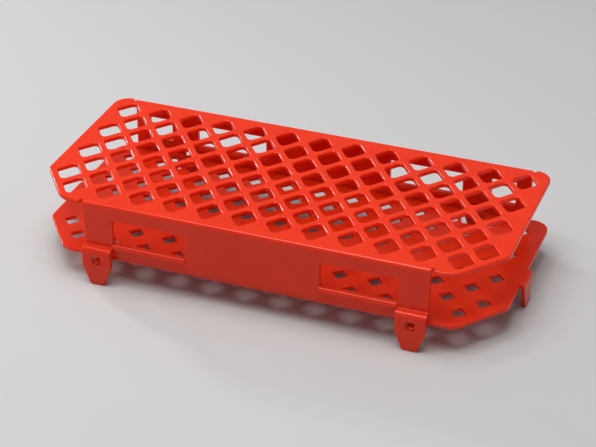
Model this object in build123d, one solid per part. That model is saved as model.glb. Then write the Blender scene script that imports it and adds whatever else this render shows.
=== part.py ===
"""Rack for small centrifuge tubes, moulded in two pieces that snap together.

deck    upper plate with the tube holes, the front and rear walls, and the four legs that the walls run into
shelf   lower plate with holes for the tube tips, a leg under each end, and four sprung catches

Millimetres. X runs along the rows, Y from front to rear, Z up.
The origin is the middle of the rack's footprint on the bench.
"""
from build123d import *
from math import atan2, ceil, cos, isclose, pi, radians, sin, tan
import os

# ---- Places for the tubes: staggered rows, each second row one place shorter ----
pitch = 19.5                  # between places in a row
row_pitch = 12.7              # between rows
row_count = 8
long_row_places = 13          # the rear row is a long one

# ---- Tube holes of the deck: diamonds whose sides follow the slant of the places ----
tube_diameter = 10.8
tube_clearance = 0.8          # between a tube and two opposite sides
tube_hole_corner = 2.2        # radius that the corners' short flats follow
flat_turn = radians(27)       # most that one flat turns from the last

# ---- Tip holes of the shelf: smaller diamonds, measured corner to corner ----
tip_hole_length = 9.2         # along the rows
tip_hole_width = 9.4          # across the rows

# ---- Plates ----
deck_height = 47.8            # bench to the deck's top
deck_length = 258.5
deck_width = 117.8
deck_thickness = 2.5
shelf_height = 16.8           # bench to the shelf's top
shelf_length = 260.0
shelf_width = 116.4
shelf_thickness = 2.2
corner_cut = 27.0             # how far the slanted front corners reach back along each end
rear_corner_radius = 9.0
end_corner_radius = 5.0       # where a slanted corner meets the end
deck_front_radius = 16.0      # where the deck's slanted corner meets the front
shelf_front_radius = 10.0

# ---- Walls that fold down from the deck and stand on the shelf ----
wall_thickness = 2.5
fold_radius = 1.8             # outside of the fold
fold_inner_radius = 1.0
rear_wall_length = 236.0
relief_width = 2.2            # notch in the plate's edge beside each end of a fold
relief_depth = 2.6

# ---- Windows in the walls, each over a bead ----
window_top = 38.8             # above the bench
window_bottom = 24.8
middle_panel_length = 74.6    # wall between the two main windows
end_window_length = 13.9      # extra windows of the rear wall, outside its legs
bead_height = 2.8
bead_depth = 4.5              # through the wall
bead_overhang = 1.4           # past the wall's outer face
bead_radius = 1.6

# ---- Legs that the walls run into, by a step outwards ----
leg_spacing = 175.0
leg_width = 16.4
leg_step = 4.5                # how far a leg stands out from its wall
leg_thickness = 2.5
ledge_height = 22.2           # bench to the top of the step
ledge_thickness = 2.5
ledge_radius = 2.4
ledge_inner_radius = 0.8
leg_root = 3.0                # how far the leg's section runs up inside the wall
leg_taper_height = 11.6       # bench to where the taper starts
leg_tip_width = 7.6
leg_tip_radius = 1.6

# ---- Catches: a ramp on a sprung bar of the shelf stands in a square hole of each leg ----
catch_width = 3.4
catch_drop = 3.6              # shelf's top to the catch's flat underside
catch_ramp = 0.4              # shelf's top to the top of the ramp
catch_nose = 0.9              # height of the ramp's blunt end
catch_inset = 0.3             # ramp's end behind the leg's outer face
catch_clearance = 0.65        # round the catch, in the leg's hole
catch_tab_thickness = 2.0
bar_width = 3.5               # between the opening and the shelf's edge
bar_length = 16.0
opening_neck = 7.2            # narrow side of a rear opening
opening_corner = 1.0
rear_opening_depth = 13.1
front_opening_depth = 4.6

# ---- Legs under the shelf's ends ----
end_leg_width = 16.2
end_leg_reach = 2.9           # outer face past the shelf's end
end_leg_thickness = 2.0
end_leg_bend = 2.6
end_leg_inner_bend = 0.6
end_leg_root = 6.0            # overlap with the plate
end_leg_taper_height = 12.0
end_leg_tip_width = 6.0
end_leg_tip_radius = 1.6

# ---- Worked out ----
slant = atan2(row_pitch, pitch / 2)
wall_face = deck_width / 2
wall_inner_face = wall_face - wall_thickness
leg_face = wall_face + leg_step
leg_inner_side = (leg_spacing - leg_width) / 2
leg_outer_side = (leg_spacing + leg_width) / 2
front_wall_length = 2 * leg_outer_side
shelf_edge = shelf_width / 2
catch_bottom = shelf_height - catch_drop
catch_top = shelf_height - catch_ramp
main_window = (middle_panel_length / 2, leg_inner_side)
end_window = (leg_outer_side, leg_outer_side + end_window_length)
sideways = Plane(origin=(0, 0, 0), x_dir=(0, -1, 0), z_dir=(-1, 0, 0))    # drawing X is outwards at the front


def rounded(points, radii):
    """Face with straight sides between the points and a radius of its own at each corner."""
    return make_face(FilletPolyline(*points, radius=radii, close=True))


def both_ends(shape):
    """The shape and its mirror image at the other end of the rack."""
    return [shape, mirror(shape, Plane.YZ)]


def places():
    """Centres of the places, rear row first."""
    centres = []
    for row in range(row_count):
        count = long_row_places - row % 2
        y = ((row_count - 1) / 2 - row) * row_pitch
        centres += [((i - (count - 1) / 2) * pitch, y) for i in range(count)]
    return centres


def diamond(length, width):
    """Diamond with its corners on the axes."""
    return Polygon((length / 2, 0), (0, width / 2), (-length / 2, 0), (0, -width / 2), align=None)


def tube_hole():
    """Diamond that a tube passes. Short flats round its corners and keep the many holes light."""
    reach = (tube_diameter + tube_clearance) / 2 - tube_hole_corner
    side = pi / 2 - slant                      # the way that the first side faces
    points = []
    for quarter, turn in enumerate([2 * side, pi - 2 * side] * 2):
        middle = quarter * pi / 2
        centre = reach / cos(turn / 2)
        flats = ceil(turn / flat_turn)
        for i in range(flats + 1):
            angle = middle + (i / flats - 0.5) * turn
            points.append((centre * cos(middle) + tube_hole_corner * cos(angle),
                           centre * sin(middle) + tube_hole_corner * sin(angle)))
    return Polygon(*points, align=None)


def plate(top, thickness, length, width, front_radius, cutouts):
    """Plate with rounded rear corners and slanted front ones, and the cut-outs through it."""
    x, y = length / 2, width / 2
    run = corner_cut / tan(slant)
    corners = [(x, y), (x, corner_cut - y), (x - run, -y), (run - x, -y), (-x, corner_cut - y), (-x, y)]
    radii = [rear_corner_radius, end_corner_radius, front_radius]
    outline = rounded(corners, radii + radii[::-1]) - cutouts
    return extrude(Pos(0, 0, top) * outline, -thickness)


def leg_outline(width, taper_height, tip_width, tip_radius, top):
    """Leg seen from outside: straight sides, then a taper to a rounded tip on the bench."""
    x, tip = width / 2, tip_width / 2
    points = [(x, top), (x, taper_height), (tip, 0), (-tip, 0), (-x, taper_height), (-x, top)]
    return rounded(points, [0, 0, tip_radius, tip_radius, 0, 0])


def wall_leg():
    """Front leg at X = 0: steps out from the wall at a ledge and has the square hole for its catch."""
    ledge_bottom = ledge_height - ledge_thickness
    root = ledge_height + leg_root
    back = leg_face - leg_thickness
    section = rounded(
        [(wall_face, root), (wall_face, ledge_height), (leg_face, ledge_height), (leg_face, 0),
         (back, 0), (back, ledge_bottom), (wall_inner_face, ledge_bottom), (wall_inner_face, root)],
        [0, ledge_inner_radius, ledge_radius, 0, 0, ledge_inner_radius, ledge_radius, 0])
    outline = leg_outline(leg_width, leg_taper_height, leg_tip_width, leg_tip_radius, root)
    hole = Rectangle(catch_width + 2 * catch_clearance, catch_top - catch_bottom + 2 * catch_clearance)
    outline -= Pos(0, (catch_top + catch_bottom) / 2) * hole
    strip = extrude(sideways * section, leg_width / 2, both=True)
    return strip & extrude(Plane.XZ * outline, leg_face)


def bead(inner_x, outer_x):
    """Rounded bead of the front wall under the window between the two X places."""
    outside, inside = wall_face + bead_overhang, wall_face + bead_overhang - bead_depth
    bottom = window_bottom - bead_height
    section = rounded([(outside, bottom), (outside, window_bottom), (inside, window_bottom), (inside, bottom)],
                      [0, bead_radius, bead_radius, 0])
    strip = extrude(sideways * section, (outer_x - inner_x) / 2, both=True)
    return Pos((inner_x + outer_x) / 2, 0, 0) * strip


def front_wall(length, windows):
    """Wall at the deck's front with its windows, beads and legs."""
    face = Pos(0, (shelf_height + deck_height) / 2) * Rectangle(length, deck_height - shelf_height)
    step = Pos(leg_spacing / 2, (shelf_height + ledge_height) / 2)
    face -= both_ends(step * Rectangle(leg_width, ledge_height - shelf_height))
    solids = both_ends(Pos(leg_spacing / 2, 0, 0) * wall_leg())
    for inner_x, outer_x in windows:
        centre = Pos((inner_x + outer_x) / 2, (window_top + window_bottom) / 2)
        face -= both_ends(centre * Rectangle(outer_x - inner_x, window_top - window_bottom))
        solids += both_ends(bead(inner_x, outer_x))
    return extrude(Plane.XZ.offset(wall_face) * face, -wall_thickness) + solids


def folds(solid, height, out):
    """Edges along X at a height and at a distance to the front and rear."""
    return [edge for edge in solid.edges().filter_by(Axis.X)
            if isclose(edge.center().Z, height) and isclose(abs(edge.center().Y), out)]


def make_deck():
    hole = tube_hole()
    notch = SlotOverall(2 * relief_depth, relief_width, rotation=90)
    cutouts = [Pos(*place) * hole for place in places()]
    for y, wall_length in ((-wall_face, front_wall_length), (wall_face, rear_wall_length)):
        cutouts += both_ends(Pos((wall_length + relief_width) / 2, y) * notch)
    deck = plate(deck_height, deck_thickness, deck_length, deck_width, deck_front_radius, cutouts)
    deck += front_wall(front_wall_length, [main_window])
    deck += mirror(front_wall(rear_wall_length, [main_window, end_window]), Plane.XZ)
    deck = fillet(folds(deck, deck_height - deck_thickness, wall_inner_face), fold_inner_radius)
    longest = sorted(folds(deck, deck_height, wall_face), key=lambda edge: edge.length)[-2:]
    return fillet(longest, fold_radius)


def opening(depth):
    """Opening that frees the sprung bar at the shelf's front edge: it narrows away from the bar."""
    flare = (bar_length - opening_neck) / 2 / rear_opening_depth
    outer, inner = bar_length / 2, bar_length / 2 - depth * flare
    y = bar_width - shelf_edge
    return rounded([(outer, y), (inner, y + depth), (-inner, y + depth), (-outer, y)], [opening_corner] * 4)


def catch():
    """Catch at the shelf's front edge: a tab under the bar, with a ramp outside that faces up."""
    back, nose = shelf_edge - catch_tab_thickness, leg_face - catch_inset
    section = Polygon((back, shelf_height), (shelf_edge, shelf_height), (shelf_edge, catch_top),
                      (nose, catch_bottom + catch_nose), (nose, catch_bottom), (back, catch_bottom), align=None)
    return extrude(sideways * section, catch_width / 2, both=True)


def end_leg():
    """Leg that the shelf bends down into at its right-hand end."""
    root, out = shelf_length / 2 - end_leg_root, shelf_length / 2 + end_leg_reach
    bottom, back = shelf_height - shelf_thickness, out - end_leg_thickness
    section = rounded([(root, shelf_height), (out, shelf_height), (out, 0), (back, 0), (back, bottom), (root, bottom)],
                      [0, end_leg_bend, 0, 0, end_leg_inner_bend, 0])
    outline = leg_outline(end_leg_width, end_leg_taper_height, end_leg_tip_width, end_leg_tip_radius, shelf_height)
    strip = extrude(Plane.XZ * section, end_leg_width / 2, both=True)
    return strip & extrude(Plane.YZ * outline, out)


def make_shelf():
    tip_hole = diamond(tip_hole_length, tip_hole_width)
    cutouts = [Pos(*place) * tip_hole for place in places()]
    at_leg = Pos(leg_spacing / 2, 0)
    cutouts += both_ends(at_leg * opening(front_opening_depth))
    cutouts += both_ends(at_leg * mirror(opening(rear_opening_depth), Plane.XZ))
    shelf = plate(shelf_height, shelf_thickness, shelf_length, shelf_width, shelf_front_radius, cutouts)
    front_catches = both_ends(Pos(leg_spacing / 2, 0, 0) * catch())
    rear_catches = [mirror(part, Plane.XZ) for part in front_catches]
    return shelf + front_catches + rear_catches + both_ends(end_leg())


os.makedirs("parts", exist_ok=True)
export_step(make_deck(), "parts/deck.step")
export_step(make_shelf(), "parts/shelf.step")
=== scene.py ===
# %% [markdown]
# # A red rack for small centrifuge tubes
# The rack is two mouldings of one red plastic. The upper one is a plate with a hundred
# diamond-shaped holes, whose front and rear edges fold down into walls and then into four legs.
# The lower one is a shelf with small holes for the tips of the tubes, which snaps in between
# those legs. Both arrive here as solids at their true size, so this lesson is about what a solid
# lacks: soft edges, a plastic that looks moulded, and light.

# %% Load the mouldings
import bmesh
import bpy
import math
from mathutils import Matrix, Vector


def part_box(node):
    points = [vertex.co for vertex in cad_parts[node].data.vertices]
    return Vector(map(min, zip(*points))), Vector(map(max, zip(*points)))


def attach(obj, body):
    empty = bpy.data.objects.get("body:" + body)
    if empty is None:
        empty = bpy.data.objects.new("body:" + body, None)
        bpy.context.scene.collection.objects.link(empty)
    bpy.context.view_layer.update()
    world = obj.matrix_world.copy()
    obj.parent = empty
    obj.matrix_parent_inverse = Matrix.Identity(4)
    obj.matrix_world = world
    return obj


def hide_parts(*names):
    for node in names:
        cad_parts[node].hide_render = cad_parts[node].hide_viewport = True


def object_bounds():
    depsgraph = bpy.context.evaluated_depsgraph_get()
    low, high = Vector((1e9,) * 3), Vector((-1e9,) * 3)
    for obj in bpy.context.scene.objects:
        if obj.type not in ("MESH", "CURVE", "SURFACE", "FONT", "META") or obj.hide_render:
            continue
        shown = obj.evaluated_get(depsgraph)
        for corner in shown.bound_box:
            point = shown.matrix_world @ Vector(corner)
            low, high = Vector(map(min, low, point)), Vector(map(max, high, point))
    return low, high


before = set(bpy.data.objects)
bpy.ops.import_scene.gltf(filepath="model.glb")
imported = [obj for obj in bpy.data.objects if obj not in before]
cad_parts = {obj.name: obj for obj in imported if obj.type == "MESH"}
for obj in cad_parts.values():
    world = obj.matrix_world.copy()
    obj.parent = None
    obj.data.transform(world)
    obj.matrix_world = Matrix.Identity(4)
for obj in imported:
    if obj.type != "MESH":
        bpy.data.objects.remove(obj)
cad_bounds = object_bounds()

MM = 0.001
deck_low, deck_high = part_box("deck")
shelf_low, shelf_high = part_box("shelf")
print("deck, mm:", [round(v / MM, 1) for v in deck_high - deck_low])
print("shelf, mm:", [round(v / MM, 1) for v in shelf_high - shelf_low])

# %% [markdown]
# ## Whole faces
# A solid comes as loose triangles. Each moulding is copied, and in the copy the triangles are
# joined and those in one plane become one face, so that only real edges are left. Corners that
# lie almost on each other are made one too. Nobody would see such a sliver, but a round that is
# wider than the sliver would turn it inside out.

# %% Copy a moulding and merge its triangles
SLIVER = 0.06 * MM                # corners closer than this are one corner
PLANE_TURN = math.radians(0.5)    # faces that turn less than this lie in one plane


def select_only(piece):
    """Makes a piece the only one that the operators act on."""
    bpy.ops.object.select_all(action="DESELECT")
    piece.select_set(True)
    bpy.context.view_layer.objects.active = piece


def merge_flat_faces(piece):
    """Joins the faces of a piece that lie in one plane."""
    select_only(piece)
    bpy.ops.object.mode_set(mode="EDIT")
    bpy.ops.mesh.select_all(action="SELECT")
    bpy.ops.mesh.dissolve_limited(angle_limit=PLANE_TURN, delimit=set())
    bpy.ops.object.mode_set(mode="OBJECT")


def moulding_copy(node, name):
    """Copies a CAD node and joins its loose triangles into whole faces."""
    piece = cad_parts[node].copy()
    piece.data = piece.data.copy()
    piece.name = piece.data.name = name
    piece.parent = None
    bpy.context.collection.objects.link(piece)
    select_only(piece)
    bpy.ops.object.mode_set(mode="EDIT")
    bpy.ops.mesh.select_all(action="SELECT")
    bpy.ops.mesh.customdata_custom_splitnormals_clear()
    bpy.ops.mesh.remove_doubles(threshold=SLIVER)
    bpy.ops.object.mode_set(mode="OBJECT")
    merge_flat_faces(piece)
    print(name, "has", len(piece.data.vertices), "points and", len(piece.data.polygons), "faces")
    return piece


deck = moulding_copy("deck", "deck_moulding")
shelf = moulding_copy("shelf", "shelf_moulding")

# %% [markdown]
# ## Soft edges
# A steel mould can't hold a perfectly sharp edge, and plastic shrinks away from it, so every
# outside edge of the real rack is a small round that catches the light. The rims of the holes,
# where the tubes are pushed in, have the widest rounds. A bevel that picks edges by their angle
# would treat all of them alike, so each edge is given a weight first.
#
# Two rounds that meet on a narrow face fold over each other, so no round is wider than a share
# of the faces beside it, measured across from the edge. Nor may the width jump from one edge to
# the next where they run on in nearly the same line, as round the corner of a hole. The edges of
# such a chain share their smallest width.

# %% Measure the room beside an edge, and follow edges round a corner
CHAIN_TURN = math.radians(40)     # edges that turn less than this at a point run on as one chain


def room(edge):
    """How far the narrower of an edge's two faces reaches from it."""
    start, end = [vert.co for vert in edge.verts]
    along = (end - start).normalized()
    return min(max((vert.co - start).cross(along).length for vert in face.verts)
               for face in edge.link_faces)


def runs_on(edge, other, vert):
    """Whether another edge carries on from an edge through the point where they meet."""
    away = (edge.other_vert(vert).co - vert.co).normalized()
    towards = (vert.co - other.other_vert(vert).co).normalized()
    return away.angle(towards) < CHAIN_TURN


def chains_of(edges):
    """Groups the edges that run on from one to the next without a corner."""
    left = set(edges)
    chains = []
    while left:
        chain = [left.pop()]
        for edge in chain:
            for vert in edge.verts:
                for other in vert.link_edges:
                    if other in left and runs_on(edge, other, vert):
                        left.remove(other)
                        chain.append(other)
        chains.append(chain)
    return chains


# %% [markdown]
# Only outside corners get a weight. Inside corners stay sharp, and so do the short flats that
# round the corners of a hole: they meet at a small angle, which smooth shading hides.

# %% Weigh the edges of a moulding
RIM_ROUND = 0.9 * MM              # on top of the deck
EDGE_ROUND = 0.4 * MM             # everywhere else
SHARE = 0.35                      # of the width of the faces beside an edge
FLAT_TURN = math.radians(28)      # the flats round a hole's corner meet at less than this


def weigh_edges(piece, limit_of):
    """Gives each outside corner its width of bevel, as a share of the widest round."""
    mesh = bmesh.new()
    mesh.from_mesh(piece.data)
    weight = mesh.edges.layers.float.new("bevel_weight_edge")
    corners = [edge for edge in mesh.edges
               if len(edge.link_faces) == 2 and edge.calc_face_angle_signed() > FLAT_TURN]
    chains = chains_of(corners)
    for chain in chains:
        width = min(min(limit_of([vert.co for vert in edge.verts]), SHARE * room(edge))
                    for edge in chain)
        for edge in chain:
            edge[weight] = width / RIM_ROUND
    mesh.to_mesh(piece.data)
    mesh.free()
    print(piece.name, "has", len(corners), "sharp edges in", len(chains), "chains")


# %% [markdown]
# Some places need a limit of their own. The deck's folds end in small notches, and its windows
# stand over beads, whose free ends are flush with the windows' sides. Several faces meet there
# at odd angles, and a round would crumple, so those edges stay sharp. In the shelf only thin webs
# are left between the tip holes and the openings of the sprung bars, so rounds are tight there.

# %% Limit the rounds of each moulding
SAME = 0.01 * MM                  # places closer than this are the same
LEG_X = 87.5 * MM                 # middle of a leg, and of the sprung bar behind it
LEG_REACH = 8.5 * MM              # from there to just past the leg's side
FRONT_NOTCH_X = 96.8 * MM         # middle of the notch at the end of a fold
REAR_NOTCH_X = 119.1 * MM
NOTCH_REACH = 2 * MM              # from there to just past the notch
NOTCH_Y = 55 * MM                 # the notches lie outside this
NOTCH_Z = 44 * MM                 # and above this
BEAD_Y = 58.8 * MM                # the beads stand out past this
BEAD_BOTTOM = 21.9 * MM           # just below the beads
BEAD_TOP = 24.9 * MM              # just above them
BAR_REACH = 16 * MM               # from LEG_X to past the tip holes beside a bar's opening
BAR_Y = 38 * MM                   # those openings lie outside this
WEB_ROUND = 0.12 * MM             # on the webs between them and the tip holes


def in_notch(point):
    """Whether a point is on one of the notches at the ends of the folds."""
    middle = FRONT_NOTCH_X if point.y < 0 else REAR_NOTCH_X
    beside = abs(abs(point.x) - middle) < NOTCH_REACH
    return beside and abs(point.y) > NOTCH_Y and point.z > NOTCH_Z


def on_bead(point):
    """Whether a point is on the outside of a bead, away from the legs."""
    clear_of_leg = abs(abs(point.x) - LEG_X) > LEG_REACH
    return clear_of_leg and abs(point.y) > BEAD_Y and BEAD_BOTTOM < point.z < BEAD_TOP


def deck_limit(ends):
    """Rims on top are widest, and the notches and the free ends of the beads stay sharp."""
    if all(in_notch(end) for end in ends):
        return 0
    if all(on_bead(end) for end in ends) and abs(ends[0].x - ends[1].x) < SAME:
        return 0
    return RIM_ROUND if all(end.z > deck_high.z - SAME for end in ends) else EDGE_ROUND


def shelf_limit(ends):
    """Rounds are tight near the four sprung bars."""
    near_bar = any(abs(abs(end.x) - LEG_X) < BAR_REACH and abs(end.y) > BAR_Y for end in ends)
    return WEB_ROUND if near_bar else EDGE_ROUND


weigh_edges(deck, deck_limit)
weigh_edges(shelf, shelf_limit)

# %% [markdown]
# The bevel modifier now rounds each edge as wide as its weight says. It isn't clamped, because
# the weights already keep the rounds apart, and a clamp would make every round as narrow as the
# tightest place allows. The bevel also notes which faces are rounds. With that, weighted normals
# keep the flat faces flat to the eye, and all the turning of the light is in the rounds.

# %% Round the edges
BEVEL_FLATS = 3                   # in the round of each edge
SMOOTH_TURN = math.radians(60)    # faces that turn less than this are shaded as one surface


def soften(piece):
    """Rounds the weighted edges of a moulding and shades it smooth."""
    bevel = piece.modifiers.new("rounded edges", "BEVEL")
    bevel.limit_method = "WEIGHT"
    bevel.width = RIM_ROUND
    bevel.segments = BEVEL_FLATS
    bevel.use_clamp_overlap = False
    bevel.loop_slide = False
    bevel.face_strength_mode = "FSTR_ALL"
    select_only(piece)
    bpy.ops.object.modifier_apply(modifier=bevel.name)
    merge_flat_faces(piece)
    bpy.ops.object.shade_smooth_by_angle(angle=SMOOTH_TURN)
    level = piece.modifiers.new("flat faces stay flat", "WEIGHTED_NORMAL")
    level.mode = "FACE_AREA"
    level.weight = 50
    level.keep_sharp = True
    level.use_face_influence = True
    bpy.ops.object.modifier_apply(modifier=level.name)
    print(piece.name, "has", len(piece.data.polygons), "faces with its edges rounded")


soften(deck)
soften(shelf)

# %% [markdown]
# ## Shader maths
# A pattern is easier to read as a formula than as a web of nodes, so a small class wraps one
# socket of a node and lets it be added and multiplied like a number. Each sum adds the Math node
# that works it out.

# %% Sockets that can be used in sums
class Wire:
    """An output of a shader node that can be used like a number."""

    def __init__(self, tree, socket=None):
        self.tree = tree
        self.socket = socket

    def node(self, kind, settings=None, inputs=None, output=0):
        """Adds any node: its settings first, then the values or wires of its sockets."""
        node = self.tree.nodes.new(kind)
        for name, value in (settings or {}).items():
            setattr(node, name, value)
        for name, value in (inputs or {}).items():
            if isinstance(value, Wire):
                self.tree.links.new(value.socket, node.inputs[name])
            else:
                node.inputs[name].default_value = value
        return Wire(self.tree, node.outputs[output] if node.outputs else None)

    def maths(self, operation, first, second):
        """Adds the Math node that works out one operation."""
        return self.node("ShaderNodeMath", {"operation": operation}, {0: first, 1: second})

    def __add__(self, other):
        return self.maths("ADD", self, other)

    def __mul__(self, other):
        return self.maths("MULTIPLY", self, other)

    __radd__ = __add__
    __rmul__ = __mul__


# %% [markdown]
# ## Red polypropylene
# The plastic is dyed all through and comes out of a polished mould, so its gloss is even but
# never perfect. Where it flowed and cooled unevenly the red is a little deeper or paler, and the
# surface has a faint long-waved ripple like the skin of an orange. Each of these is a noise of
# its own size, in object coordinates, so that it stays put on the part. Light also sinks a few
# millimetres into this plastic and comes out redder, which softens the shadows inside the holes.
# Subsurface scattering does that.

# %% Make the plastic
DEEP_RED = (0.70, 0.026, 0.004, 1)
PALE_RED = (0.80, 0.040, 0.006, 1)
MIX_FACTOR, MIX_FIRST, MIX_SECOND, MIX_RESULT = 0, 6, 7, 2    # sockets of a Mix node for colours
RIPPLE_HEIGHT = 0.2 * MM
LIGHT_DEPTH = 4 * MM              # how far red light sinks in
DEPTH_OF_COLOURS = (1.0, 0.25, 0.12)    # red, green and blue, as shares of that


def red_plastic():
    """Dyed polypropylene: an even red, a satin gloss, and the ripple of a cooled moulding."""
    material = bpy.data.materials.new("red_polypropylene")
    material.use_nodes = True
    tree = material.node_tree
    tree.nodes.clear()
    wire = Wire(tree)
    place = wire.node("ShaderNodeTexCoord", output="Object")

    def noise(scale, detail):
        """Cloudy noise whose patches are about one metre divided by the scale."""
        inputs = {"Vector": place, "Scale": scale, "Detail": detail}
        return wire.node("ShaderNodeTexNoise", inputs=inputs, output="Fac")

    flow = noise(18.0, 2.0)         # patches of about 55 mm
    ripple = noise(160.0, 1.0)      # waves of about 6 mm
    grain = noise(1800.0, 2.0)      # specks of about half a millimetre
    red = wire.node("ShaderNodeMix", {"data_type": "RGBA"},
                    {MIX_FACTOR: flow, MIX_FIRST: DEEP_RED, MIX_SECOND: PALE_RED}, MIX_RESULT)
    roughness = 0.18 + 0.06 * flow + 0.05 * grain
    relief = ripple * 0.8 + grain * 0.06
    bump = wire.node("ShaderNodeBump", {}, {
        "Height": relief, "Strength": 0.25, "Distance": RIPPLE_HEIGHT}, "Normal")
    surface = wire.node("ShaderNodeBsdfPrincipled", {}, {
        "Base Color": red, "Roughness": roughness, "IOR": 1.49, "Specular IOR Level": 0.3,
        "Normal": bump, "Subsurface Weight": 1.0, "Subsurface Radius": DEPTH_OF_COLOURS,
        "Subsurface Scale": LIGHT_DEPTH}, "BSDF")
    wire.node("ShaderNodeOutputMaterial", {}, {"Surface": surface})
    print(material.name, "has", len(tree.nodes), "nodes")
    return material


plastic = red_plastic()

# %% [markdown]
# Both mouldings are of this one plastic. Each copy now stands for its solid, takes the solid's
# place on the rack, and moves with it. The hidden solids get the plastic too.

# %% Give both mouldings the plastic
for piece, node in ((deck, "deck"), (shelf, "shelf")):
    piece.data.materials.clear()
    piece.data.materials.append(plastic)
    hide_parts(node)
    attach(piece, "root")
    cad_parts[node].data.materials.clear()
    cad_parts[node].data.materials.append(plastic)
    print(piece.name, "stands for", node)

# %% [markdown]
# ## Camera
# The rack is seen from the front, above and a little to the right, from far enough away that its
# long edges hardly converge.

# %% Set the camera
CAMERA_PLACE = (0.30774, -0.81147, 0.54100)
CAMERA_TURN = (59.096, -0.149, 20.640)    # degrees about X, Y and Z
LENS = 112.42                     # mm
SENSOR = 36                       # mm across

camera_data = bpy.data.cameras.new("camera")
camera = bpy.data.objects.new("camera", camera_data)
bpy.context.collection.objects.link(camera)
camera_data.lens = LENS
camera_data.sensor_width = SENSOR
camera.location = CAMERA_PLACE
camera.rotation_euler = [math.radians(v) for v in CAMERA_TURN]
bpy.context.scene.camera = camera
print("camera stands", round(camera.location.length, 2), "m from the middle of the rack's foot")

# %% [markdown]
# ## Floor
# The rack stands on a plain pale floor, which throws a little light up at the walls. It reaches
# far enough to fill the camera's view.

# %% Lay the floor
FLOOR_SIDE = 8                    # metres
FLOOR_GREY = 0.55
FLOOR_ROUGHNESS = 0.6

bpy.ops.object.select_all(action="DESELECT")
bpy.ops.mesh.primitive_plane_add(size=FLOOR_SIDE, location=(0, 0, cad_bounds[0][2]))
floor = bpy.context.object
floor.name = "floor"
pale_floor = bpy.data.materials.new("pale_floor")
pale_floor.use_nodes = True
floor_inputs = pale_floor.node_tree.nodes["Principled BSDF"].inputs
floor_inputs["Base Color"].default_value = (FLOOR_GREY, FLOOR_GREY, FLOOR_GREY, 1)
floor_inputs["Roughness"].default_value = FLOOR_ROUGHNESS
floor.data.materials.append(pale_floor)
print("floor is", FLOOR_SIDE, "m wide")

# %% [markdown]
# ## Light
# Soft light shows the plastic without tricks. The main lamp hangs nearly overhead, so that the
# deck is bright and the walls stay in shade. A small, weak one stands low behind the rack on its
# left: it adds little light, but the right rim of each hole glints with it. Its beam is narrowed
# to spare the floor. Weaker light from all round fills the shadows.

# %% Hang the lamps
SIDE_BEAM = math.radians(90)
AIR_GREY = 0.9
AIR_STRENGTH = 0.3


def lamp(name, place, size, power):
    """A soft square lamp that faces the middle of the rack."""
    data = bpy.data.lights.new(name, "AREA")
    data.size = size
    data.energy = power
    light = bpy.data.objects.new(name, data)
    bpy.context.collection.objects.link(light)
    light.location = place
    light.rotation_euler = Vector(place).to_track_quat("Z", "Y").to_euler()
    print(name, "gives", power, "W from", round(Vector(place).length, 2), "m away")
    return light


lamp("top_lamp", place=(-0.1, -0.15, 1.25), size=0.9, power=14.5)
side_lamp = lamp("side_lamp", place=(-0.9, 0.4, 0.36), size=0.1, power=0.8)
side_lamp.data.spread = SIDE_BEAM

world = bpy.data.worlds.new("studio")
bpy.context.scene.world = world
world.use_nodes = True
background = world.node_tree.nodes["Background"]
background.inputs["Color"].default_value = (AIR_GREY, AIR_GREY, AIR_GREY, 1)
background.inputs["Strength"].default_value = AIR_STRENGTH
bpy.context.scene.view_settings.view_transform = "Standard"
